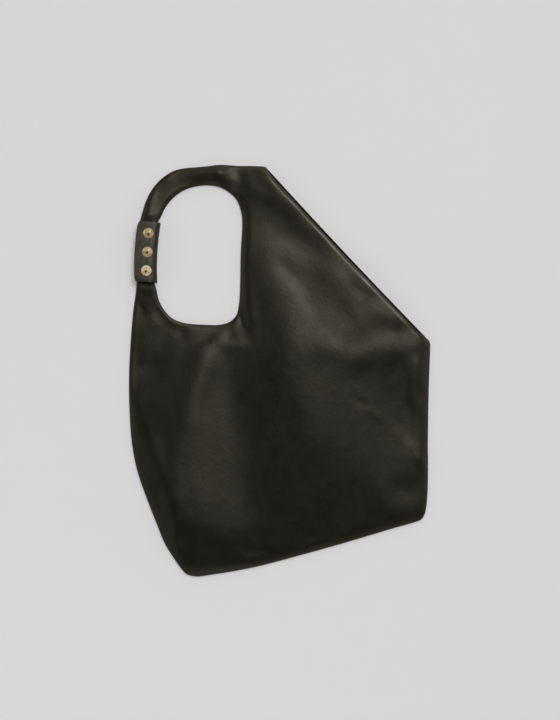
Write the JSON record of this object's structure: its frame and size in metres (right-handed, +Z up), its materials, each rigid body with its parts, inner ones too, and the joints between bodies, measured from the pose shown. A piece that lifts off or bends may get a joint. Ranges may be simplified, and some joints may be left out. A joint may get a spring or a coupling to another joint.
{
  "type": "leather tote bag",
  "caption": "Flat soft leather tote with a slanted open mouth, one broad strap cut in one with the body, and a cuff that opens on press studs.",
  "frame": {"origin": "under the middle of the bag's bounding box, on the surface that the bag lies on", "axes": "+Z up through the thin bag as it lies on its back; +Y along its length, towards the shoulder and strap; +X towards the side that the slanted mouth faces"},
  "size_m": [0.3585, 0.4898, 0.0181],
  "materials": {
    "dark_nappa": "satin smooth nappa, fine grain",
    "flesh_side": "matt suede-like inner side",
    "webbing": "woven cotton tape",
    "pale_brass": "polished pale brass",
    "spring_steel": "drawn wire"
  },
  "bodies": {
    "bag": {"back_panel": "dark_nappa", "front_panel": "dark_nappa", "back_mouth_facing": "flesh_side", "front_mouth_facing": "flesh_side", "strap_core": "webbing", "cuff_wrap": "dark_nappa", "snap_stud_1": "pale_brass", "snap_stud_2": "pale_brass", "snap_stud_3": "pale_brass", "snap_post_1": "pale_brass", "snap_post_2": "pale_brass", "snap_post_3": "pale_brass"},
    "cuff_top": {"cuff_flap": "dark_nappa", "snap_cap_1": "pale_brass", "snap_cap_2": "pale_brass", "snap_cap_3": "pale_brass", "snap_socket_1": "pale_brass", "snap_socket_2": "pale_brass", "snap_socket_3": "pale_brass", "snap_spring_1": "spring_steel", "snap_spring_2": "spring_steel", "snap_spring_3": "spring_steel"}
  },
  "joints": [
    {"name": "cuff_fold", "type": "hinge", "parent": "bag", "child": "cuff_top", "pos_m": [-0.14926, 0.14022, 0.0143], "axis": [0.0576, 0.9983, 0], "range_deg": [0, 150]}
  ]
}
